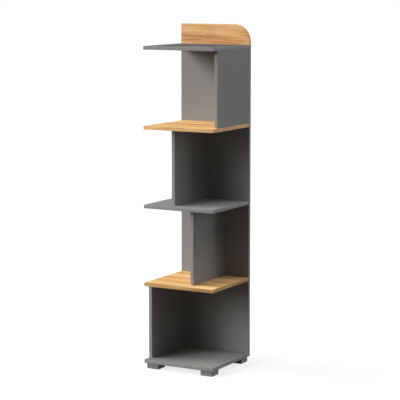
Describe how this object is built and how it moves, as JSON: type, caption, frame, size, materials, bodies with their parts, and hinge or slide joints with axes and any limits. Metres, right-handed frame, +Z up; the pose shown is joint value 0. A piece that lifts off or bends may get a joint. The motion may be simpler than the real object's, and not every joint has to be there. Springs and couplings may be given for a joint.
{
  "type": "open bookcase",
  "caption": "Tall narrow open bookcase: square shelves on a full-height back spine, offset upright dividers, a rounded crown board and low block feet.",
  "frame": {"origin": "on the floor, under the middle of the case's footprint", "axes": "+Z up, the open front faces -Y, +X to the right seen from the front"},
  "size_m": [0.35, 0.35, 1.531],
  "materials": {
    "grey_laminate": "melamine-faced chipboard, satin grey",
    "oak_laminate": "melamine-faced chipboard, printed oak grain, satin",
    "grey_edge_band": "1 mm ABS edge band",
    "oak_edge_band": "1 mm ABS edge band, printed oak grain",
    "grey_moulding": "moulded, fine grained",
    "beech": "turned, fluted",
    "zinc_steel": "zinc plated",
    "cast_zinc": "die-cast zinc alloy"
  },
  "bodies": {
    "root": {"spine_panel": "grey_laminate", "crown_board": "oak_laminate", "top_shelf": "grey_laminate", "upper_oak_shelf": "oak_laminate", "middle_shelf": "grey_laminate", "lower_oak_shelf": "oak_laminate", "bottom_shelf": "grey_laminate", "top_divider": "grey_laminate", "upper_divider": "grey_laminate", "lower_divider": "grey_laminate", "bottom_divider": "grey_laminate", "crown_edge_bands": "oak_edge_band", "spine_edge_bands": "grey_edge_band", "top_shelf_edge_bands": "grey_edge_band", "upper_oak_shelf_edge_bands": "oak_edge_band", "middle_shelf_edge_bands": "grey_edge_band", "lower_oak_shelf_edge_bands": "oak_edge_band", "bottom_shelf_edge_bands": "grey_edge_band", "top_divider_edge_band": "grey_edge_band", "upper_divider_edge_band": "grey_edge_band", "lower_divider_edge_band": "grey_edge_band", "bottom_divider_edge_band": "grey_edge_band", "front_left_foot": "grey_moulding", "front_right_foot": "grey_moulding", "rear_left_foot": "grey_moulding", "rear_right_foot": "grey_moulding", "foot_screws": "zinc_steel", "shelf_screws": "zinc_steel", "divider_screws": "zinc_steel", "shelf_dowels": "beech", "divider_dowels": "beech", "crown_dowels": "beech", "cam_bolts": "zinc_steel", "cam_locks": "cast_zinc", "cam_covers": "grey_moulding", "joining_plates": "zinc_steel", "joining_plate_screws": "zinc_steel", "wall_hanger_plate": "zinc_steel", "wall_hanger_screws": "zinc_steel"}
  },
  "joints": []
}
